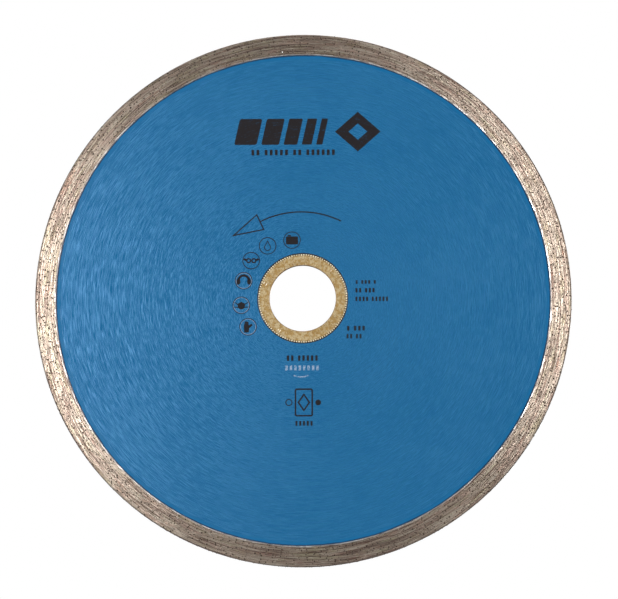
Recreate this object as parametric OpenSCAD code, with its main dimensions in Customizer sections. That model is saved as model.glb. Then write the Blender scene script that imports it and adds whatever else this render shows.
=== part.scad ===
// Continuous-rim diamond blade with a knurled reducing ring, in millimetres.
// The blade stands upright. Its axis is Y, its marked front faces -Y, and the
// origin is on the axis, halfway through the plate.

/* [Blade] */
// Outer diameter over the diamond rim
blade_d = 180; // [150:1:250]
// Thickness of the steel core
core_t = 1.2; // [1:0.05:2]
// Diameter of the bore through the steel core
core_bore_d = 30; // [26:0.5:50]
// Chamfer on both edges of the core's bore
core_bore_chamfer = 0.1; // [0.05:0.05:0.3]

/* [Core edge] */
// Depth that the core's notched edge reaches into the rim
edge_reach = 2.2; // [1.8:0.1:3]
// Radial depth of each notch in the core's edge
notch_depth = 1.5; // [1:0.1:1.6]
// Width of a notch at its mouth
notch_mouth_w = 2; // [1.2:0.1:3]
// Width of a notch at its floor, wider than its mouth to lock the rim
notch_floor_w = 2.6; // [1.4:0.1:3.4]
// Spacing of the notches round the edge
notch_pitch = 7.5; // [6:0.1:12]

/* [Diamond rim] */
// Radial height of the diamond rim
rim_h = 7; // [6:0.5:12]
// How far the rim stands out beyond each face of the core
rim_side = 0.2; // [0.15:0.05:0.5]
// Chamfer on the rim's two outer corners
rim_corner = 0.2; // [0.1:0.05:0.3]
// Chamfer on the rim's two inner edges
rim_inner_chamfer = 0.1; // [0.05:0.01:0.12]

/* [Diamond grit] */
// Length of a crystal's edge
grit_size = 0.4; // [0.3:0.02:0.5]
// How far a crystal's tip stands out of the bond
grit_proud = 0.1; // [0.05:0.01:0.15]
// Spacing of the crystals round the cutting edge
edge_grit_pitch = 4.7; // [3:0.1:12]
// Distance of the two rows on the cutting edge from the middle of the rim
edge_grit_row = 0.34; // [0.3:0.01:0.4]
// Spacing of the crystals round each side of the rim
side_grit_pitch = 6; // [4:0.1:12]
// Number that picks the scatter of the crystals
grit_seed = 11; // [1:1:99]

/* [Lacquer] */
// Thickness of each coat of lacquer
lacquer_t = 0.04; // [0.02:0.01:0.1]
// Bare steel left between the bore and the lacquer
lacquer_margin = 0.3; // [0.2:0.05:1]
// Bare line left between the lacquer and the rim
lacquer_rim_gap = 0.06; // [0.02:0.01:0.3]

/* [Reducing ring] */
// Bore of the reducing ring, which sits on the machine's arbor
ring_bore_d = 22.23; // [16:0.01:24]
// Thickness of the reducing ring
ring_t = 1.2; // [0.8:0.05:2]
// Radial clearance between the knurl's crests and the core's bore
ring_fit = 0.02; // [0.01:0.005:0.1]
// Chamfer on both edges of the ring's bore
ring_bore_chamfer = 0.15; // [0.05:0.05:0.3]
// Spacing of the knurl's teeth
knurl_pitch = 0.825; // [0.7:0.005:1.2]
// Depth of the knurl's grooves
knurl_depth = 0.38; // [0.15:0.01:0.4]
// Width of a knurl tooth across its crest
knurl_crest_w = 0.3; // [0.15:0.01:0.35]
// Chamfer on both ends of the knurl
knurl_chamfer = 0.12; // [0.05:0.01:0.16]

/* [Hidden] */

$fn = 180;
// Length by which a cutting shape runs past what it cuts
past = 0.5;

blade_r = blade_d / 2;
rim_inner_r = blade_r - rim_h;
rim_t = core_t + 2 * rim_side;
core_edge_r = rim_inner_r + edge_reach;
core_bore_r = core_bore_d / 2;
notch_count = round(2 * PI * core_edge_r / notch_pitch);

// A crystal is a cube that stands on one corner
tip_reach = grit_size * sqrt(3) / 2;
tip_turn = atan(sqrt(2));
tip_radius = grit_size * sqrt(2 / 3);
crystal_depth = tip_reach - grit_proud;
edge_grit_count = round(2 * PI * blade_r / edge_grit_pitch);
edge_grit_step = 360 / edge_grit_count;
side_grit_inner_r = core_edge_r + tip_radius;
side_grit_outer_r = blade_r - crystal_depth - tip_reach - tip_radius;
side_grit_count = round(PI * (side_grit_inner_r + side_grit_outer_r) / side_grit_pitch);
side_grit_step = 360 / side_grit_count;
edge_scatter = rands(0, 1, edge_grit_count, grit_seed);
side_scatter = rands(0, 1, side_grit_count, grit_seed + 1);
side_radii = rands(side_grit_inner_r, side_grit_outer_r, side_grit_count, grit_seed + 2);
// Share of its own space round the rim that a crystal may wander over
wander = 0.7;

ring_outer_r = core_bore_r - ring_fit;
ring_bore_r = ring_bore_d / 2;
knurl_count = round(2 * PI * ring_outer_r / knurl_pitch);
knurl_step = 360 / knurl_count;
crest_half_angle = asin(knurl_crest_w / 2 / ring_outer_r);

function at(radius, angle) = [radius * cos(angle), radius * sin(angle)];

// Two crest corners and the floor of the groove after them, for each tooth
knurl_points = [
    for (i = [0 : knurl_count - 1])
        each [
            at(ring_outer_r, i * knurl_step - crest_half_angle),
            at(ring_outer_r, i * knurl_step + crest_half_angle),
            at(ring_outer_r - knurl_depth, (i + 0.5) * knurl_step)
        ]
];

// Stands a piece drawn flat on Z up on its edge, with its top as the front
module upright() {
    rotate([90, 0, 0]) children();
}

module notch() {
    polygon([
        [0, -notch_floor_w / 2],
        [notch_depth, -notch_mouth_w / 2],
        [notch_depth + past, -notch_mouth_w / 2],
        [notch_depth + past, notch_mouth_w / 2],
        [notch_depth, notch_mouth_w / 2],
        [0, notch_floor_w / 2]
    ]);
}

// The plate without its bore, which is also the shape that the rim is formed on
module core_plate() {
    linear_extrude(core_t, center = true)
        difference() {
            circle(r = core_edge_r);
            for (i = [0 : notch_count - 1])
                rotate(i * 360 / notch_count)
                    translate([core_edge_r - notch_depth, 0])
                        notch();
        }
}

module steel_core() {
    color("silver")
        upright()
            difference() {
                core_plate();
                cylinder(h = core_t + 2 * past, r = core_bore_r, center = true);
                for (side = [0, 1])
                    mirror([0, 0, side])
                        translate([0, 0, core_t / 2 - core_bore_chamfer])
                            cylinder(
                                h = core_bore_chamfer + past,
                                r1 = core_bore_r,
                                r2 = core_bore_r + core_bore_chamfer + past
                            );
            }
}

module rim_blank() {
    half = rim_t / 2;
    rotate_extrude()
        polygon([
            [rim_inner_r, rim_inner_chamfer - half],
            [rim_inner_r + rim_inner_chamfer, -half],
            [blade_r - rim_corner, -half],
            [blade_r, rim_corner - half],
            [blade_r, half - rim_corner],
            [blade_r - rim_corner, half],
            [rim_inner_r + rim_inner_chamfer, half],
            [rim_inner_r, half - rim_inner_chamfer]
        ]);
}

// One crystal below the plane Z = 0, with its tip standing out of it
module crystal(spin) {
    translate([0, 0, -crystal_depth])
        rotate([0, 0, spin])
            rotate([0, -tip_turn, 0])
                rotate([0, 0, -45])
                    cube(grit_size, center = true);
}

module edge_crystals() {
    for (i = [0 : edge_grit_count - 1]) {
        row = i % 2 == 0 ? edge_grit_row : -edge_grit_row;
        rotate((i + wander * edge_scatter[i]) * edge_grit_step)
            translate([blade_r, 0, row])
                rotate([0, 90, 0])
                    crystal(360 * edge_scatter[i]);
    }
}

module side_crystals() {
    for (i = [0 : side_grit_count - 1])
        rotate((i + wander * side_scatter[i]) * side_grit_step)
            translate([side_radii[i], 0, rim_t / 2])
                crystal(360 * side_scatter[i]);
}

module crystals() {
    edge_crystals();
    side_crystals();
    rotate([180, 0, 0]) side_crystals();
}

module diamond_rim() {
    color("tan")
        upright()
            difference() {
                rim_blank();
                core_plate();
                crystals();
            }
}

module diamond_grit() {
    color("lightyellow") upright() crystals();
}

module lacquer_coat() {
    translate([0, 0, core_t / 2])
        linear_extrude(lacquer_t)
            difference() {
                circle(r = rim_inner_r - lacquer_rim_gap);
                circle(r = core_bore_r + lacquer_margin);
            }
}

module front_lacquer() {
    color("steelblue") upright() lacquer_coat();
}

module rear_lacquer() {
    color("steelblue") upright() rotate([180, 0, 0]) lacquer_coat();
}

// The ring's cross-section swept round, wider than the knurl it trims
module ring_blank() {
    half = ring_t / 2;
    rotate_extrude()
        polygon([
            [ring_bore_r, ring_bore_chamfer - half],
            [ring_bore_r + ring_bore_chamfer, -half],
            [ring_outer_r - knurl_chamfer, -half],
            [ring_outer_r + knurl_chamfer, 2 * knurl_chamfer - half],
            [ring_outer_r + knurl_chamfer, half - 2 * knurl_chamfer],
            [ring_outer_r - knurl_chamfer, half],
            [ring_bore_r + ring_bore_chamfer, half],
            [ring_bore_r, half - ring_bore_chamfer]
        ]);
}

module reducing_ring() {
    color("goldenrod")
        upright()
            intersection() {
                ring_blank();
                linear_extrude(ring_t + 2 * past, center = true) polygon(knurl_points);
            }
}

steel_core();
diamond_rim();
diamond_grit();
front_lacquer();
rear_lacquer();
reducing_ring();
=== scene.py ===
import math
import random

import bpy
from mathutils import Matrix, Vector


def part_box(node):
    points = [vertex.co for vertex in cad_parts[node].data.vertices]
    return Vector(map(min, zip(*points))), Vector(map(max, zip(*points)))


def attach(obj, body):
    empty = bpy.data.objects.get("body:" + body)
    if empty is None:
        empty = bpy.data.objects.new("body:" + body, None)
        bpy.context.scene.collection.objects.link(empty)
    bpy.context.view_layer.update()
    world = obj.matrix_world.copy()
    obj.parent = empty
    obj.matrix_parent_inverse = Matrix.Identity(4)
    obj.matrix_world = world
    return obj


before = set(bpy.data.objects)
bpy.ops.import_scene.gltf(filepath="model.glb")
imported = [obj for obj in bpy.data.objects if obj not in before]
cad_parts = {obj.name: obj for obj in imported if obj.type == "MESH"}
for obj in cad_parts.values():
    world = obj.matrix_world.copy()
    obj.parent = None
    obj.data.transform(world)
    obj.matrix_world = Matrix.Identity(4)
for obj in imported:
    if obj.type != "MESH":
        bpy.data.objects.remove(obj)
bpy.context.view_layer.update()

mm = 0.001
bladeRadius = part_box("diamond_rim")[1].x
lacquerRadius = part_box("front_lacquer")[1].x
rimInnerRadius = lacquerRadius + 0.06 * mm       # the bond starts just outside the lacquer
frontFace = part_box("front_lacquer")[0].y
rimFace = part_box("diamond_rim")[0].y
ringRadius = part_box("reducing_ring")[1].x
boreRadius = 11.115 * mm                         # of the reducing ring


class Wire:
    # a socket of one material, so that a finish is written as a sum
    def __init__(self, tree, socket=None):
        self.tree, self.socket = tree, socket

    def node(self, kind, settings, values, output=0):
        made = self.tree.nodes.new(kind)
        for key, value in settings.items():
            setattr(made, key, value)
        for key, value in values.items():
            plug(value, made.inputs[key])
        return Wire(self.tree, made.outputs[output])

    def other(self, output):                     # another output of the same node
        return Wire(self.tree, self.socket.node.outputs[output])

    def math(self, operation, *values):
        return self.node("ShaderNodeMath", {"operation": operation}, dict(enumerate(values)))

    def __add__(self, other): return self.math("ADD", self, other)
    def __radd__(self, other): return self.math("ADD", other, self)
    def __sub__(self, other): return self.math("SUBTRACT", self, other)
    def __rsub__(self, other): return self.math("SUBTRACT", other, self)
    def __mul__(self, other): return self.math("MULTIPLY", self, other)
    def __rmul__(self, other): return self.math("MULTIPLY", other, self)
    def __truediv__(self, other): return self.math("DIVIDE", self, other)
    def __rtruediv__(self, other): return self.math("DIVIDE", other, self)
    def __pow__(self, other): return self.math("POWER", self, other)
    def __abs__(self): return self.math("ABSOLUTE", self)


def plug(value, socket):
    if isinstance(value, Wire):
        value.tree.links.new(value.socket, socket)
    elif isinstance(value, (tuple, list)) and len(value) == 3 and len(socket.default_value) == 4:
        socket.default_value = (*value, 1)
    else:
        socket.default_value = value


def fade(value, start, end):                     # 0 at start, 1 at end, either way round
    return value.node("ShaderNodeMapRange", {"interpolation_type": "SMOOTHSTEP"},
                      {"Value": value, "From Min": start, "From Max": end})


def blendColour(mask, first, second):
    return mask.node("ShaderNodeMix", {"data_type": "RGBA"}, {0: mask, 6: first, 7: second}, 2)


def multiplyColour(mask, colour, tint):
    return mask.node("ShaderNodeMix", {"data_type": "RGBA", "blend_type": "MULTIPLY"},
                     {0: mask, 6: colour, 7: tint}, 2)


def vectorSum(start, operation, *values, output=0, **named):
    return start.node("ShaderNodeVectorMath", {"operation": operation},
                      {**dict(enumerate(values)), **named}, output)


def newFinish(name, fixed):
    material = bpy.data.materials.new(name)
    material.use_nodes = True
    shader = material.node_tree.nodes["Principled BSDF"]
    for socket, value in fixed.items():
        plug(value, shader.inputs[socket])
    return material, Wire(material.node_tree), shader


def dress(name, material):                       # puts a finish on a node of the frame
    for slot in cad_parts[name].material_slots:
        slot.material = material


class Turned:
    # places on the blade as a lathe sees them: radius, direction from the axis, and height
    def __init__(self, start):
        self.place = start.node("ShaderNodeTexCoord", {}, {}, "Object")
        parts = [self.place.node("ShaderNodeSeparateXYZ", {}, {0: self.place}, axis) for axis in "XYZ"]
        self.height = parts[1]
        self.radius = (parts[0] * parts[0] + parts[2] * parts[2]) ** 0.5
        self.cosine = parts[0] / self.radius
        self.sine = parts[2] / self.radius
        outward = self.combine(self.cosine, 0, self.sine)
        self.outward = start.node("ShaderNodeVectorTransform",
                                  {"vector_type": "VECTOR", "convert_from": "OBJECT", "convert_to": "WORLD"},
                                  {0: outward})
        self.x, self.z = parts[0], parts[2]
        self.across = self.radius + self.height  # outwards on a face, through the thickness on an edge

    def combine(self, x, y, z):
        return self.place.node("ShaderNodeCombineXYZ", {}, {0: x, 1: y, 2: z})

    def stretched(self, middle, length, width, seed):    # one unit is length round the axis by width outwards
        around = middle / length
        return self.combine(self.cosine * around, self.across / width + seed, self.sine * around)

    def noise(self, middle, length, width, seed, detail=2.0):
        return self.place.node("ShaderNodeTexNoise", {},
                               {"Vector": self.stretched(middle, length, width, seed),
                                "Scale": 1.0, "Detail": detail, "Roughness": 0.55})

    def clouds(self, size, detail=3.0):          # plain noise with patches of about this size
        return self.place.node("ShaderNodeTexNoise", {},
                               {"Vector": self.place, "Scale": 1 / size, "Detail": detail, "Roughness": 0.6})

    def grains(self, middle, length, width, seed):
        # scattered grains: how far round and how far outwards the nearest one is, and its own random number
        spot = self.stretched(middle, length, width, seed)
        cell = self.place.node("ShaderNodeTexVoronoi", {}, {"Vector": spot, "Scale": 1.0}, "Position")
        away = vectorSum(spot, "SUBTRACT", spot, cell)
        parts = [spot.node("ShaderNodeSeparateXYZ", {}, {0: away}, axis) for axis in "XYZ"]
        sideways = (parts[2] * self.cosine - parts[0] * self.sine) * length
        chance = spot.node("ShaderNodeSeparateXYZ", {}, {0: cell.other("Color")}, "X")
        return sideways, parts[1] * width, chance

    def tilted(self, slope):                     # the surface's normal leant outwards by a slope
        flat = self.place.node("ShaderNodeNewGeometry", {}, {}, "Normal")
        lean = vectorSum(flat, "SCALE", self.outward, Scale=slope)
        return vectorSum(flat, "NORMALIZE", vectorSum(flat, "ADD", flat, lean))


lacquerLook = {
    "blue": (0.0008, 0.160, 0.393),
    "paleBlue": (0.018, 0.222, 0.463),
    "pooledBlue": (0.0030, 0.158, 0.382),
    "edgeShadow": (0.006, 0.018, 0.050),
    "metallic": 0.28,
    "specular": 0.76,
    "roughness": 0.27,
    "hairRoughness": 0.2,
    "cloudRoughness": 0.06,
    "streakLength": 3.2 * mm,
    "streakWidth": 0.34 * mm,
    "shortShare": 0.6,                           # the rest is three times as long
    "streakFade": (0.42, 0.58),
    "streakAmount": 0.45,
    "cloudSize": 30 * mm,
    "cloudFade": (0.3, 0.8),
    "cloudAmount": 0.06,
    "grooveSlope": 0.13,
    "hairSlope": 0.31,
    "wobble": 0.5 * mm,                          # how far the coat's edge wanders
    "pooledWidth": 1.7 * mm,
    "pooledAmount": 0.8,
    "pooledFlat": 0.85,
    "shadowWidth": 0.50 * mm,
    "shadowAmount": 0.8,
}


def makeLacquer():
    look = lacquerLook
    finish, start, shader = newFinish("blueLacquer", {"IOR": 1.5, "Specular IOR Level": look["specular"]})
    turned = Turned(start)
    middle = lacquerRadius * 0.6
    length, width = look["streakLength"], look["streakWidth"]
    short = turned.noise(middle, length, width, seed=3, detail=1.0)
    long = turned.noise(middle, length * 3, width * 1.2, seed=29, detail=1.0)
    streaks = short * look["shortShare"] + long * (1 - look["shortShare"])
    fine = turned.noise(middle, length * 0.8, width * 0.33, seed=11, detail=1.0)
    clouds = turned.clouds(look["cloudSize"])
    slope = (streaks - 0.5) * look["grooveSlope"] + (fine - 0.5) * look["hairSlope"]
    pale = fade(streaks, *look["streakFade"]) * look["streakAmount"]
    pale = pale + fade(clouds, *look["cloudFade"]) * look["cloudAmount"]
    colour = blendColour(pale, look["blue"], look["paleBlue"])
    wobble = (turned.noise(lacquerRadius, 5 * mm, 3 * mm, seed=41) - 0.5) * look["wobble"]
    edge = turned.radius + wobble
    pooled = fade(edge, lacquerRadius - look["pooledWidth"], lacquerRadius - look["pooledWidth"] * 0.55)
    colour = blendColour(pooled * look["pooledAmount"], colour, look["pooledBlue"])
    shadow = fade(edge, lacquerRadius - look["shadowWidth"], lacquerRadius - look["shadowWidth"] * 0.4)
    colour = blendColour(shadow * look["shadowAmount"], colour, look["edgeShadow"])
    roughness = look["roughness"] + (fine - 0.5) * look["hairRoughness"]
    roughness = roughness + (clouds - 0.5) * look["cloudRoughness"] - pooled * 0.06
    plug(colour, shader.inputs["Base Color"])
    plug((1 - pooled * 0.8) * look["metallic"], shader.inputs["Metallic"])
    plug(roughness, shader.inputs["Roughness"])
    plug(turned.tilted(slope * (1 - pooled * look["pooledFlat"])), shader.inputs["Normal"])
    dress("front_lacquer", finish)
    dress("rear_lacquer", finish)


rimLook = {
    "bond": (0.382, 0.284, 0.231),
    "paleBond": (0.45, 0.378, 0.308),
    "darkBond": (0.255, 0.182, 0.136),
    "scoredBond": (0.120, 0.076, 0.062),
    "polishedBond": (0.62, 0.550, 0.455),
    "rust": (0.36, 0.20, 0.10),
    "pink": (1.0, 0.90, 0.91),
    "green": (0.96, 1.0, 0.88),
    "grainColour": (0.040, 0.024, 0.016),
    # pale crystal colour: painted glint
    "glintGrain": (0.42, 0.38, 0.30),
    # painted highlight along the bond's inner chamfer
    "innerHighlight": (0.86, 0.84, 0.82),
    # painted shade on the rounded cutting edge
    "cuttingEdgeShade": (0.075, 0.058, 0.05),
    "roughness": 0.285,
    "hairRoughness": 0.1,
    "grainRoughness": 0.25,
    "edgeRoughness": 0.2,
    "lineLength": 8 * mm,
    "lineWidth": 0.33 * mm,
    "lineFade": (0.50, 0.36),
    "lineAmount": 0.65,
    "scoreLength": 13 * mm,
    "scoreWidth": 0.29 * mm,
    "scoreFade": (0.48, 0.38),
    "scoreAmount": 0.8,
    "polishFade": (0.52, 0.64),
    "polishAmount": 0.6,
    "rustFade": (0.56, 0.66),
    "rustAmount": 0.35,
    "grainApart": (2.2 * mm, 0.72 * mm),         # round the blade, and outwards
    "grainSize": 0.26 * mm,
    "tailLength": 1.7 * mm,
    "tailAmount": 0.5,
    "haloAmount": 0.35,
    "wobble": 0.5 * mm,
    "innerEdge": (0.46 * mm, 0.28 * mm),
    "innerAmount": 0.75,
    "outerEdge": (0.65 * mm, 0.3 * mm),
    "outerAmount": 0.6,
    "grooveSlope": 0.11,
    "hairSlope": 2.15,
    "innerLean": 0.28,
}


def makeRim():
    look = rimLook
    finish, start, shader = newFinish("sinteredBond", {"Metallic": 0.95, "IOR": 1.5})
    turned = Turned(start)
    middle = (rimInnerRadius + bladeRadius) / 2
    length, width = look["lineLength"], look["lineWidth"]
    lines = turned.noise(middle, length, width, seed=5)
    hair = turned.noise(middle, length * 0.5, width * 0.3, seed=17)
    scores = turned.noise(middle, look["scoreLength"], look["scoreWidth"], seed=61, detail=1.0)
    patches = turned.noise(middle, 8 * mm, 1.6 * mm, seed=23)
    warmth = turned.noise(middle, 9 * mm, 1.3 * mm, seed=31)
    colour = blendColour(fade(patches, 0.3, 0.7), look["bond"], look["paleBond"])
    colour = blendColour(fade(lines, *look["lineFade"]) * look["lineAmount"], colour, look["darkBond"])
    colour = blendColour(fade(scores, *look["scoreFade"]) * look["scoreAmount"], colour, look["scoredBond"])
    colour = blendColour(fade(scores, *look["polishFade"]) * look["polishAmount"], colour, look["polishedBond"])
    rusted = fade(warmth * 0.4 + lines * 0.6, *look["rustFade"])
    colour = blendColour(rusted * look["rustAmount"], colour, look["rust"])
    colour = multiplyColour(fade(warmth, 0.52, 0.7), colour, look["pink"])
    colour = multiplyColour(fade(warmth, 0.48, 0.3), colour, look["green"])

    # crystals level with the bond: each has a ragged outline, a polished halo and a tail behind it
    away, outwards, chance = turned.grains(middle, *look["grainApart"], seed=0)
    glinting = fade(chance, 0.86, 0.92)            # one crystal in ten is a pale one, and smaller: a painted glint
    size = look["grainSize"] * (0.55 + chance * 0.8 - glinting * 0.75)
    chipped = 0.65 + turned.clouds(0.22 * mm, 1.0) * 0.75
    near = (away * away + outwards * outwards) ** 0.5 / (size * chipped)
    grain = fade(near, 1.1, 0.7)
    halo = fade(near, 2.4, 1.2) * (1 - grain)
    along = away / look["tailLength"]
    tail = fade(along, 1, 0.1) * fade(along, -0.02, 0.05) * fade(abs(outwards) / size, 0.75, 0.3)
    colour = blendColour(halo * look["haloAmount"], colour, look["paleBond"])
    colour = blendColour(tail * fade(chance, 0.2, 0.8) * look["tailAmount"], colour, look["darkBond"])
    crystal = blendColour(glinting, look["grainColour"], look["glintGrain"])
    colour = blendColour(grain * (0.95 - fade(chance, 0.45, 0.25) * 0.55), colour, crystal)

    # a pale broken line where the bond meets the lacquer, a painted highlight on its chamfer, and a dark
    # painted shade along the rounded cutting edge
    wobble = (turned.noise(middle, 3 * mm, 3 * mm, seed=47) - 0.5) * look["wobble"]
    edge = turned.radius + wobble
    broken = fade(turned.noise(middle, 5 * mm, 2 * mm, seed=53), 0.42, 0.60)
    outside, inside = look["innerEdge"]
    inner = fade(edge, rimInnerRadius + outside, rimInnerRadius + inside) * (0.35 + broken * 0.65)
    onFace = fade(abs(turned.height), abs(rimFace) * 0.80, abs(rimFace) * 0.95)
    # the rounded cutting edge: painted shade in the colour, with added roughness
    inside, outside = look["outerEdge"]
    outer = fade(edge, bladeRadius - inside, bladeRadius - outside) * onFace
    colour = blendColour(inner * look["innerAmount"], colour, look["innerHighlight"])
    colour = blendColour(outer * look["outerAmount"], colour, look["cuttingEdgeShade"])
    roughness = look["roughness"] + (hair - 0.5) * look["hairRoughness"]
    roughness = roughness + grain * look["grainRoughness"] + outer * look["edgeRoughness"]
    slope = (lines - 0.5) * look["grooveSlope"] + (hair - 0.5) * look["hairSlope"]
    slope = slope * (1 - inner * 0.8) - inner * look["innerLean"]
    bump = start.node("ShaderNodeBump", {}, {
        "Strength": 0.2, "Distance": 0.04 * mm, "Height": halo * 0.3 + tail * 0.4 - grain,
        "Normal": turned.tilted(slope)})
    plug(colour, shader.inputs["Base Color"])
    plug(roughness, shader.inputs["Roughness"])
    plug(bump, shader.inputs["Normal"])
    dress("diamond_rim", finish)


diamondLook = {
    "dark": (0.060, 0.036, 0.020),
    "amber": (0.30, 0.25, 0.12),
    "vein": (0.55, 0.50, 0.34),
    "crystalSize": 0.9 * mm,
    "veinSize": 0.12 * mm,
    "roughness": 0.12,
    "veinRoughness": 0.25,
}


def makeDiamond():
    look = diamondLook
    finish, start, shader = newFinish("diamondCrystal", {"IOR": 2.4, "Metallic": 0.0})
    turned = Turned(start)
    mixed = turned.clouds(look["crystalSize"], 1.0)
    veins = turned.clouds(look["veinSize"], 2.0)
    colour = blendColour(fade(mixed, 0.35, 0.65), look["dark"], look["amber"])
    plug(blendColour(fade(veins, 0.5, 0.8) * 0.5, colour, look["vein"]), shader.inputs["Base Color"])
    plug(look["roughness"] + fade(veins, 0.4, 0.8) * look["veinRoughness"], shader.inputs["Roughness"])
    dress("diamond_grit", finish)
    return finish


ringLook = {
    "brass": (0.37, 0.235, 0.080),
    "paleBrass": (0.50, 0.40, 0.23),
    "darkBrass": (0.20, 0.105, 0.028),
    "knurlTip": (0.95, 0.86, 0.64),
    # painted shade in the knurl's grooves
    "grooveShade": (0.05, 0.035, 0.020),
    "boreEdge": (0.34, 0.21, 0.12),
    "freshNick": (1.0, 0.93, 0.78),
    "metallic": 0.75,
    "roughness": 0.42,
    "patinaSize": 0.9 * mm,
    "stippleSize": 0.35 * mm,
    "cutLength": 5 * mm,
    "cutWidth": 0.22 * mm,
    "grooveSlope": 0.22,
    "teeth": 114,
    "nicks": (
        {"at": (-12.9, 5.3), "long": 1.3, "turn": 55},
        {"at": (-12.2, 4.7), "long": 1.4, "turn": 57},
        {"at": (-7.6, -11.0), "long": 1.2, "turn": 60},
        {"at": (-8.2, -10.6), "long": 0.7, "turn": 62},
        {"at": (9.4, 9.2), "long": 0.9, "turn": 20},
    ),
}


def nickMask(turned, nick):                      # a short straight dent, 1 along its middle
    turn = math.radians(nick["turn"])
    x, z = turned.x - nick["at"][0] * mm, turned.z - nick["at"][1] * mm
    along = abs(x * math.cos(turn) + z * math.sin(turn))
    aside = abs(z * math.cos(turn) - x * math.sin(turn))
    half = nick["long"] * mm / 2
    return fade(along, half, half * 0.3) * fade(aside, 0.15 * mm, 0.03 * mm)


def makeRing():
    look = ringLook
    finish, start, shader = newFinish("ringMetal", {"Metallic": look["metallic"], "IOR": 1.5})
    turned = Turned(start)
    middle = (ringRadius + boreRadius) / 2
    cuts = turned.noise(middle, look["cutLength"], look["cutWidth"], seed=9)
    patina = turned.clouds(look["patinaSize"], 4.0)
    stipple = turned.clouds(look["stippleSize"], 3.0)
    colour = blendColour(fade(patina, 0.40, 0.60), look["brass"], look["paleBrass"])
    colour = blendColour(fade(stipple, 0.50, 0.68) * 0.8, colour, look["darkBrass"])
    colour = blendColour(fade(cuts, 0.45, 0.25) * 0.35, colour, look["darkBrass"])
    worn = turned.radius + (patina - 0.5) * (0.3 * mm)
    rubbed = fade(worn, ringRadius - 0.50 * mm, ringRadius - 0.28 * mm)
    tooth = start.math("COSINE", start.math("ARCTAN2", turned.z, turned.x) * look["teeth"])
    colour = blendColour(rubbed * fade(tooth, -0.5, 0.3) * 0.9, colour, look["knurlTip"])
    # dark between the teeth near the crests: painted shade in the grooves
    grooveShading = fade(turned.radius, ringRadius - 0.80 * mm, ringRadius - 0.45 * mm) * fade(tooth, -0.1, -0.7)
    colour = blendColour(grooveShading * 0.8, colour, look["grooveShade"])
    bored = fade(turned.radius, boreRadius + 0.32 * mm, boreRadius + 0.12 * mm)
    colour = blendColour(bored * 0.6, colour, look["boreEdge"])
    dents = nickMask(turned, look["nicks"][0])
    for nick in look["nicks"][1:]:
        dents = dents + nickMask(turned, nick)
    colour = blendColour(dents * 0.9, colour, look["freshNick"])
    roughness = look["roughness"] + (patina - 0.5) * 0.3 + fade(stipple, 0.5, 0.7) * 0.15
    bump = start.node("ShaderNodeBump", {}, {
        "Strength": 0.5, "Distance": 0.05 * mm, "Height": stipple - dents,
        "Normal": turned.tilted((cuts - 0.5) * look["grooveSlope"])})
    plug(colour, shader.inputs["Base Color"])
    plug(roughness, shader.inputs["Roughness"])
    plug(bump, shader.inputs["Normal"])
    dress("reducing_ring", finish)


steelLook = {
    "steel": (0.40, 0.40, 0.41),
    "darkSteel": (0.16, 0.155, 0.155),
    # painted shade in the gap round the reducing ring
    "boreShade": (0.035, 0.035, 0.045),
    "roughness": 0.32,
    "lineLength": 6 * mm,
    "lineWidth": 0.25 * mm,
    "stainSize": 1.5 * mm,
    "grooveSlope": 0.3,
}


def makeSteel():
    look = steelLook
    finish, start, shader = newFinish("bareSteel", {"Metallic": 1.0})
    turned = Turned(start)
    lines = turned.noise(lacquerRadius, look["lineLength"], look["lineWidth"], seed=13)
    stains = turned.clouds(look["stainSize"])
    colour = blendColour(fade(stains, 0.4, 0.7), look["steel"], look["darkSteel"])
    colour = blendColour(fade(lines, 0.4, 0.7) * 0.4, colour, look["steel"])
    # near-black round the bore, where the ring sits: painted shade in the gap
    bored = fade(turned.radius, ringRadius + 0.5 * mm, ringRadius + 0.3 * mm)
    plug(blendColour(bored * 0.9, colour, look["boreShade"]), shader.inputs["Base Color"])
    plug(look["roughness"] + (lines - 0.5) * 0.3, shader.inputs["Roughness"])
    plug(turned.tilted((lines - 0.5) * look["grooveSlope"]), shader.inputs["Normal"])
    dress("steel_core", finish)


print("finishes")
makeLacquer()
makeRim()
diamondFinish = makeDiamond()
makeRing()
makeSteel()


inkLook = {
    "ink": (0.012, 0.009, 0.011),
    "worn": (0.014, 0.060, 0.120),
    "specular": 0.2,
    "roughness": 0.42,
    "proud": 0.012 * mm,                         # how far a mark stands off the lacquer, and how far it goes in
    "sunk": 0.004 * mm,
}
etchLook = {
    "pale": (0.34, 0.42, 0.56),
    "blue": (0.05, 0.20, 0.37),
    "metallic": 0.3,
    "roughness": 0.5,
    "burnSize": 0.4 * mm,
}


def makeInk():
    look = inkLook
    finish, start, shader = newFinish("printInk", {"IOR": 1.45, "Specular IOR Level": look["specular"]})
    turned = Turned(start)
    streaks = turned.noise(40 * mm, 4 * mm, 0.3 * mm, seed=7)
    specks = turned.clouds(0.5 * mm, 2.0)
    worn = fade(streaks * 0.6 + specks * 0.4, 0.56, 0.68)
    plug(blendColour(worn * 0.7, look["ink"], look["worn"]), shader.inputs["Base Color"])
    plug(look["roughness"] + (specks - 0.5) * 0.3, shader.inputs["Roughness"])
    plug(turned.tilted((streaks - 0.5) * 0.12), shader.inputs["Normal"])
    return finish


def makeEtched():
    look = etchLook
    finish, start, shader = newFinish("etchedMetal", {"Metallic": look["metallic"]})
    turned = Turned(start)
    burnt = turned.clouds(look["burnSize"], 3.0)
    plug(blendColour(fade(burnt, 0.62, 0.4), look["blue"], look["pale"]), shader.inputs["Base Color"])
    plug(look["roughness"] + (burnt - 0.5) * 0.3, shader.inputs["Roughness"])
    return finish


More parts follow.
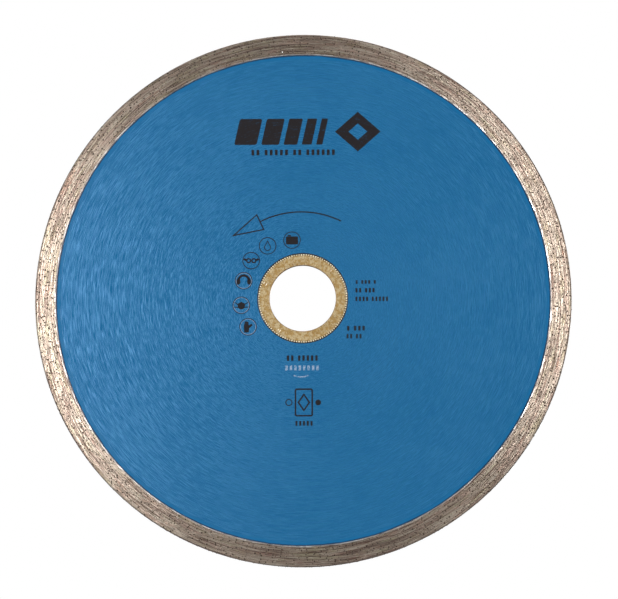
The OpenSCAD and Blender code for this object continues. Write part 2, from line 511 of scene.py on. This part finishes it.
# outlines are lists of places on the front face, in mm, x to the right and z up
def circleOutline(x, z, across, high=None, points=28):
    high = across if high is None else high
    turns = [2 * math.pi * i / points for i in range(points)]
    return [(x + across / 2 * math.cos(t), z + high / 2 * math.sin(t)) for t in turns]


def barOutline(x, z, wide, high, lean=0.0, corner=0.12):    # a bar about its middle, with its corners cut
    cut = corner * min(wide, high)
    side, top = wide / 2, high / 2
    outline = [(-side + cut, -top), (side - cut, -top), (side, -top + cut), (side, top - cut),
               (side - cut, top), (-side + cut, top), (-side, top - cut), (-side, -top + cut)]
    return [(x + a + lean * b, z + b) for a, b in outline]


def arcOutline(x, z, radius, width, start, end, steps=20):
    turns = [math.radians(start + (end - start) * i / steps) for i in range(steps + 1)]
    outer = [(x + (radius + width / 2) * math.cos(t), z + (radius + width / 2) * math.sin(t)) for t in turns]
    inner = [(x + (radius - width / 2) * math.cos(t), z + (radius - width / 2) * math.sin(t)) for t in turns]
    return outer + inner[::-1]


def lineOutline(x0, z0, x1, z1, width):
    long = math.hypot(x1 - x0, z1 - z0)
    offX, offZ = -(z1 - z0) / long * width / 2, (x1 - x0) / long * width / 2
    return [(x0 + offX, z0 + offZ), (x0 - offX, z0 - offZ), (x1 - offX, z1 - offZ), (x1 + offX, z1 + offZ)]


def printRow(row, full=0.54):                    # a row of plain blocks in groups, full of a block's pitch wide
    groups, gap = row["groups"], 0.6
    pitch = (row["to"] - row["from"]) / (sum(groups) + gap * (len(groups) - 1) - (1 - full))
    blocks, x = [], row["from"]
    for group in groups:
        for _ in range(group):
            blocks.append(barOutline(x + full * pitch / 2, row["z"], full * pitch, row["high"]))
            x += pitch
        x += gap * pitch
    return blocks


def flatPlate(outline, stroke=None):
    # one flat plate on the face, or with a stroke only its border
    bpy.ops.mesh.primitive_circle_add(vertices=len(outline), radius=mm, fill_type="NGON")
    plate = bpy.context.active_object
    for vertex, (x, z) in zip(plate.data.vertices, outline):
        vertex.co = (x * mm, frontFace - inkLook["proud"], z * mm)
    if stroke:
        bpy.ops.object.mode_set(mode="EDIT")
        bpy.ops.mesh.select_all(action="SELECT")
        bpy.ops.mesh.inset(thickness=stroke * mm)
        bpy.ops.mesh.delete(type="FACE")
        bpy.ops.object.mode_set(mode="OBJECT")
    return plate


def printPiece(name, shapes, finish):
    # lays every plate of one mark, joins them and gives the film its thickness
    bpy.ops.object.select_all(action="DESELECT")
    plates = [flatPlate(*shape) if isinstance(shape, tuple) else flatPlate(shape) for shape in shapes]
    for plate in plates:
        plate.select_set(True)
    piece = plates[0]
    bpy.context.view_layer.objects.active = piece
    if len(plates) > 1:
        bpy.ops.object.join()
    bpy.ops.object.mode_set(mode="EDIT")
    bpy.ops.mesh.select_all(action="SELECT")
    depth = inkLook["proud"] + inkLook["sunk"]
    bpy.ops.mesh.extrude_region_move(
        TRANSFORM_OT_translate={"value": (0, depth, 0), "orient_type": "GLOBAL"})
    bpy.ops.mesh.select_all(action="SELECT")
    bpy.ops.mesh.normals_make_consistent(inside=False)
    bpy.ops.object.mode_set(mode="OBJECT")
    piece.name = name
    piece.data.name = name
    piece.data.materials.append(finish)
    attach(piece, "blade")


badgeLook = {
    "stripes": (7.6, 6.0, 4.6, 3.3, 2.1),
    "gap": 1.55,
    "left": -22.2,
    "z": 56.7,
    "high": 8.9,
    "lean": 0.22,
    "corner": 0.06,
    "lozengeAt": (18.6, 56.6),
    "lozengeWide": 15.4,
    "lozengeHigh": 13.6,
    "lozengeBand": 3.0,
    "row": {"from": -17.3, "to": 10.8, "z": 49.6, "high": 1.9, "groups": (2, 5, 2, 6)},
}


def makeBadge(ink):
    look = badgeLook
    shapes, x = [], look["left"]
    for wide in look["stripes"]:
        stripe = barOutline(x + wide / 2, look["z"], wide, look["high"], look["lean"], look["corner"])
        shapes.append(stripe)
        x += wide + look["gap"]
    x, z = look["lozengeAt"]
    shapes.append((circleOutline(x, z, look["lozengeWide"], look["lozengeHigh"], 4), look["lozengeBand"]))
    printPiece("badge", shapes, ink)
    printPiece("badgeRow", printRow(look["row"]), ink)


arrowLook = {
    "head": ((-24.0, 21.0), (-15.4, 28.7), (-12.8, 23.2)),
    "stroke": 0.42,
    "arcCentre": (-0.65, -1.0),
    "arcRadius": 30.3,
    "arcFrom": 116.5,
    "arcTo": 63.4,
}


def makeArrow(ink):
    look = arrowLook
    x, z = look["arcCentre"]
    arc = arcOutline(x, z, look["arcRadius"], look["stroke"], look["arcFrom"], look["arcTo"])
    printPiece("turnArrow", [(list(look["head"]), look["stroke"]), arc], ink)


signLook = {
    "across": 5.9,
    "stroke": 0.28,
    "lining": 0.16,
    "liningGap": 0.55,
    "block": (-3.6, 19.7),
    "drop": (-11.8, 17.8),
    "goggles": (-17.3, 12.8),
    "muffs": (-19.8, 6.0),
    "mask": (-20.6, -2.3),
    "glove": (-18.3, -9.6),
}


def moved(x, z, outline):
    return [(x + a, z + b) for a, b in outline]


def makeSigns(ink, etched):
    look = signLook
    places = [look[sign] for sign in ("block", "drop", "goggles", "muffs", "mask", "glove")]
    rings = [(circleOutline(x, z, look["across"]), look["stroke"]) for x, z in places]
    printPiece("signRings", rings, ink)
    linings = [(circleOutline(x, z, look["across"] - look["liningGap"]), look["lining"]) for x, z in places[3:]]
    printPiece("signLining", linings, etched)

    x, z = look["block"]
    block = [barOutline(x, z - 0.1, 4.1, 2.7, 0, 0.1), barOutline(x - 0.9, z + 1.55, 1.1, 0.5)]
    x, z = look["drop"]
    belly = [math.radians(turn) for turn in range(130, -131, -20)]
    drop = [(x, z + 1.9)] + [(x + 1.15 * math.sin(t), z - 0.55 - 1.15 * math.cos(t)) for t in belly]
    x, z = look["goggles"]
    goggles = [(circleOutline(x + side * 0.88, z, 1.76, 1.8, 16), 0.46) for side in (-1, 1)]
    goggles += [lineOutline(x + side * 1.7, z + 0.15, x + side * 2.5, z + 0.6, 0.7) for side in (-1, 1)]
    x, z = look["muffs"]
    muffs = [arcOutline(x, z, 1.75, 0.8, 16, 164, 14)]
    muffs += [circleOutline(x + side * 1.8, z - 0.3, 1.4, 2.1, 14) for side in (-1, 1)]
    x, z = look["mask"]
    mask = [moved(x, z, ((-1.4, 0.4), (-1.0, -0.9), (-0.4, -1.4), (0.4, -1.4),
                         (1.0, -0.9), (1.4, 0.4), (0, 1.2)))]
    mask += [lineOutline(x + side * 1.2, z + 0.3, x + side * 2.35, z + 1.1, 0.3) for side in (-1, 1)]
    mask += [lineOutline(x + side * 0.9, z - 0.7, x + side * 2.4, z - 0.6, 0.3) for side in (-1, 1)]
    x, z = look["glove"]
    glove = [moved(x, z, ((-1.3, -1.9), (0.2, -1.9), (0.35, -0.5), (1.5, 0.5), (1.1, 1.1),
                          (0.2, 0.5), (0.1, 1.7), (-1.0, 1.9), (-1.4, 0.4)))]
    printPiece("signMarks", block + [(drop, 0.26)] + goggles + muffs + mask + glove, ink)


rowLook = (
    {"from": 17.8, "to": 24.5, "z": 5.4, "high": 1.2, "groups": (1, 3, 1)},
    {"from": 17.7, "to": 24.1, "z": 2.6, "high": 1.5, "groups": (2, 3)},
    {"from": 17.7, "to": 28.6, "z": -0.3, "high": 1.5, "groups": (4, 5)},
    {"from": 14.9, "to": 20.8, "z": -10.2, "high": 1.6, "groups": (1, 3)},
    {"from": 14.7, "to": 19.7, "z": -12.9, "high": 1.5, "groups": (2, 2)},
    {"from": -5.3, "to": 5.0, "z": -20.2, "high": 1.8, "groups": (2, 5)},
    {"from": -2.4, "to": 3.3, "z": -42.1, "high": 1.6, "groups": (5,)},
)
frameLook = {
    "at": (0.4, -35.1),
    "wide": 6.1,
    "high": 9.4,
    "lozengeWide": 4.3,
    "lozengeHigh": 6.2,
    "stroke": 0.5,
    "ringAt": (-4.6, -35.1),
    "ringAcross": 2.4,
    "ringStroke": 0.34,
    "dotAt": (5.2, -35.1),
    "dotAcross": 1.9,
}
etchedLook = {
    "row": {"from": -5.8, "to": 5.4, "z": -23.5, "high": 1.7, "groups": (8,)},
    "full": 0.55,
    "arcCentre": (-0.5, -19.6),
    "arcRadius": 6.9,
    "stroke": 0.35,
    "arcFrom": 249,
    "arcTo": 291,
}


def makeRows(ink, etched):
    shapes = []
    for row in rowLook:
        shapes += printRow(row)
    printPiece("dataRows", shapes, ink)
    look = frameLook
    border = barOutline(*look["at"], look["wide"], look["high"], 0, 0.08)
    lozenge = circleOutline(*look["at"], look["lozengeWide"], look["lozengeHigh"], 4)
    ring = circleOutline(*look["ringAt"], look["ringAcross"])
    dot = circleOutline(*look["dotAt"], look["dotAcross"])
    stroke = look["stroke"]
    printPiece("frameMark", [(border, stroke), (lozenge, stroke), (ring, look["ringStroke"]), dot], ink)
    look = etchedLook
    arc = arcOutline(*look["arcCentre"], look["arcRadius"], look["stroke"], look["arcFrom"], look["arcTo"], 12)
    printPiece("etchedRow", printRow(look["row"], look["full"]) + [arc], etched)


print("printed marks")
ink = makeInk()
etched = makeEtched()
makeBadge(ink)
makeArrow(ink)
makeSigns(ink, etched)
makeRows(ink, etched)


grimeAndShadeLook = {
    # near-black: painted shade in the knurl's gaps
    "grimeAndShade": (0.018, 0.020, 0.030),
    "dustyGrimeAndShade": (0.07, 0.06, 0.05),
    "roughness": 0.75,
    "dustSize": 0.3 * mm,
    "below": 0.06 * mm,                          # under the knurl's crests
    "inside": 0.36 * mm,
    "high": 0.9 * mm,
    "bevel": 0.03 * mm,
}


def makeGrimeAndShade():
    # old lacquer and dust packed in the knurl's grooves, just under the crests, near-black as painted shade for
    # the gaps
    look = grimeAndShadeLook
    finish, start, shader = newFinish("packedGrimeAndShade", {"Specular IOR Level": 0.2})
    turned = Turned(start)
    dust = turned.clouds(look["dustSize"], 3.0)
    plug(blendColour(fade(dust, 0.5, 0.75), look["grimeAndShade"], look["dustyGrimeAndShade"]), shader.inputs["Base Color"])
    plug(look["roughness"] + (dust - 0.5) * 0.3, shader.inputs["Roughness"])
    plug(start.node("ShaderNodeBump", {}, {"Strength": 0.6, "Distance": 0.05 * mm, "Height": dust}),
         shader.inputs["Normal"])
    bpy.ops.object.select_all(action="DESELECT")
    bpy.ops.mesh.primitive_circle_add(vertices=96, radius=ringRadius - look["below"], fill_type="NGON",
                                      location=(0, -look["high"] / 2, 0), rotation=(math.pi / 2, 0, 0))
    piece = bpy.context.active_object
    bpy.ops.object.transform_apply(location=True, rotation=True, scale=True)
    bpy.ops.object.mode_set(mode="EDIT")
    bpy.ops.mesh.select_all(action="SELECT")
    bpy.ops.mesh.inset(thickness=look["inside"])
    bpy.ops.mesh.delete(type="FACE")
    bpy.ops.mesh.select_all(action="SELECT")
    bpy.ops.mesh.extrude_region_move(
        TRANSFORM_OT_translate={"value": (0, look["high"], 0), "orient_type": "GLOBAL"})
    bpy.ops.mesh.select_all(action="SELECT")
    bpy.ops.mesh.normals_make_consistent(inside=False)
    bpy.ops.mesh.bevel(affect="EDGES", offset=look["bevel"], segments=1)
    bpy.ops.object.mode_set(mode="OBJECT")
    piece.name = "grooveGrimeAndShade"
    piece.data.materials.append(finish)
    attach(piece, "ring")


print("knurl grime")
makeGrimeAndShade()


grainLook = {
    "onEachFace": 900,
    "onEdge": 420,
    "small": 0.14 * mm,
    "large": 0.34 * mm,
    "corner": 0.3,                               # how much of the first cube its cut corners take
    "sunk": 0.30,                                # how deep a crystal sits, of its size
}


def makeGrains(finish):
    # one crystal with its corners cut, then copies sunk in the rim's two faces and its cutting edge
    look = grainLook
    pick = random.Random(7)
    bpy.ops.object.select_all(action="DESELECT")
    bpy.ops.mesh.primitive_cube_add(size=1)
    crystal = bpy.context.active_object
    bpy.ops.object.mode_set(mode="EDIT")
    bpy.ops.mesh.select_all(action="SELECT")
    bpy.ops.mesh.bevel(affect="VERTICES", offset=look["corner"], offset_type="OFFSET")
    bpy.ops.object.mode_set(mode="OBJECT")
    half = (bladeRadius - rimInnerRadius) / 2
    for name, count in (("grainsFront", look["onEachFace"]), ("grainsRear", look["onEachFace"]),
                        ("grainsEdge", look["onEdge"])):
        copies = []
        for _ in range(count):
            size = pick.uniform(look["small"], look["large"])
            turn = pick.uniform(0, 2 * math.pi)
            if name == "grainsEdge":
                radius, height = bladeRadius - size * look["sunk"], pick.uniform(-0.62, 0.62) * abs(rimFace)
            else:
                radius = rimInnerRadius + half + pick.uniform(-0.88, 0.86) * half
                height = (abs(rimFace) - size * look["sunk"]) * (-1 if name == "grainsFront" else 1)
            spin = Matrix.Rotation(pick.uniform(0, 6), 4, "X") @ Matrix.Rotation(pick.uniform(0, 6), 4, "Z")
            place = Matrix.Translation((radius * math.cos(turn), height, radius * math.sin(turn)))
            copy = bpy.data.objects.new(name, crystal.data.copy())
            copy.data.transform(place @ spin @ Matrix.Diagonal((size, size, size, 1)))
            bpy.context.scene.collection.objects.link(copy)
            copies.append(copy)
        bpy.ops.object.select_all(action="DESELECT")
        for copy in copies:
            copy.select_set(True)
        bpy.context.view_layer.objects.active = copies[0]
        bpy.ops.object.join()
        piece = copies[0]
        piece.name = name
        piece.data.materials.append(finish)
        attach(piece, "blade")
    bpy.data.objects.remove(crystal)


print("crystals")
makeGrains(diamondFinish)


cameraLook = {
    "distance": 1.09,
    "azimuth": 2.0,
    "elevation": -7.4,
    "aim": (2.10 * mm, 0, -0.36 * mm),
    "seenHeight": 0.20096,
    "sensor": 36,
    "frame": (618, 599),
}


def around(azimuth, elevation, distance):        # a place seen from the blade's middle, 0 is straight in front
    turn, rise = math.radians(azimuth), math.radians(elevation)
    level = math.cos(rise)
    return Vector((math.sin(turn) * level, -math.cos(turn) * level, math.sin(rise))) * distance


def makeCamera():
    look = cameraLook
    place = around(look["azimuth"], look["elevation"], look["distance"])
    data = bpy.data.cameras.new("camera")
    frameWide, frameHigh = look["frame"]
    data.sensor_width = look["sensor"]
    data.lens = look["sensor"] * look["distance"] / (look["seenHeight"] * frameWide / frameHigh)
    data.clip_start, data.clip_end = 0.01, 100
    camera = bpy.data.objects.new("camera", data)
    bpy.context.scene.collection.objects.link(camera)
    camera.location = place
    camera.rotation_euler = (Vector(look["aim"]) - place).to_track_quat("-Z", "Y").to_euler()
    bpy.context.scene.camera = camera


studioLook = {
    "floorSize": 30,
    "floorDrop": 0.26,
    "floorNear": 0.35,                           # from here the paper fades to white
    "floorFar": 1.3,
    "seenPaper": (0.9, 0.9, 0.9),
    "litPaper": (0.14, 0.14, 0.14),
    "white": (1, 1, 1),
    "worldLight": (0.05, 0.05, 0.05),
}
lampLook = (
    {"name": "leftFront", "place": around(-26, -12, 1.5), "wide": 0.46, "high": 1.8, "watts": 27.5},
    {"name": "rightFront", "place": around(27, 8, 1.5), "wide": 0.46, "high": 2.5, "watts": 18},
    {"name": "leftBack", "place": around(-153, 10, 1.5), "wide": 0.6, "high": 1.1, "watts": 15},
    {"name": "rightBack", "place": around(153, 12, 1.5), "wide": 0.6, "high": 1.1, "watts": 15},
    {"name": "above", "place": Vector((0, 0, 1.8)), "wide": 1.6, "high": 1.6, "watts": 10},
    {"name": "leftSide", "place": around(-92, 4, 1.6), "wide": 0.5, "high": 1.2, "watts": 6},
    {"name": "rightSide", "place": around(92, 4, 1.6), "wide": 0.5, "high": 1.2, "watts": 6},
)


def softLamp(look):                              # a soft box turned towards the blade's middle
    data = bpy.data.lights.new(look["name"], "AREA")
    data.shape = "RECTANGLE"
    data.size, data.size_y = look["wide"], look["high"]
    data.energy = look["watts"]
    lamp = bpy.data.objects.new(look["name"], data)
    bpy.context.scene.collection.objects.link(lamp)
    lamp.location = look["place"]
    lamp.rotation_euler = (-look["place"]).to_track_quat("-Z", "Y").to_euler()


def makeStudio():
    look = studioLook
    bpy.ops.object.select_all(action="DESELECT")
    bpy.ops.mesh.primitive_plane_add(size=look["floorSize"], location=(0, 0, -look["floorDrop"]))
    floor = bpy.context.active_object
    floor.name = "studioFloor"
    material, start, shader = newFinish("floorPaper", {"Roughness": 0.9})
    seen = start.node("ShaderNodeLightPath", {}, {}, "Is Camera Ray")
    plug(blendColour(seen, look["litPaper"], look["seenPaper"]), shader.inputs["Base Color"])
    place = start.node("ShaderNodeTexCoord", {}, {}, "Object")
    far = fade(vectorSum(start, "LENGTH", place, output=1), look["floorNear"], look["floorFar"])
    white = start.node("ShaderNodeEmission", {}, {"Color": look["white"], "Strength": 1.0})
    paper = Wire(start.tree, shader.outputs[0])
    sheet = start.node("ShaderNodeMixShader", {}, {0: far * seen, 1: paper, 2: white})
    plug(sheet, start.tree.nodes["Material Output"].inputs["Surface"])
    floor.data.materials.append(material)
    world = bpy.data.worlds.new("studio")
    world.use_nodes = True
    bpy.context.scene.world = world
    seen = Wire(world.node_tree).node("ShaderNodeLightPath", {}, {}, "Is Camera Ray")
    background = world.node_tree.nodes["Background"]
    plug(blendColour(seen, look["worldLight"], look["white"]), background.inputs["Color"])
    for lamp in lampLook:
        softLamp(lamp)


print("camera and studio")
makeCamera()
makeStudio()
bpy.context.scene.view_settings.view_transform = "Standard"
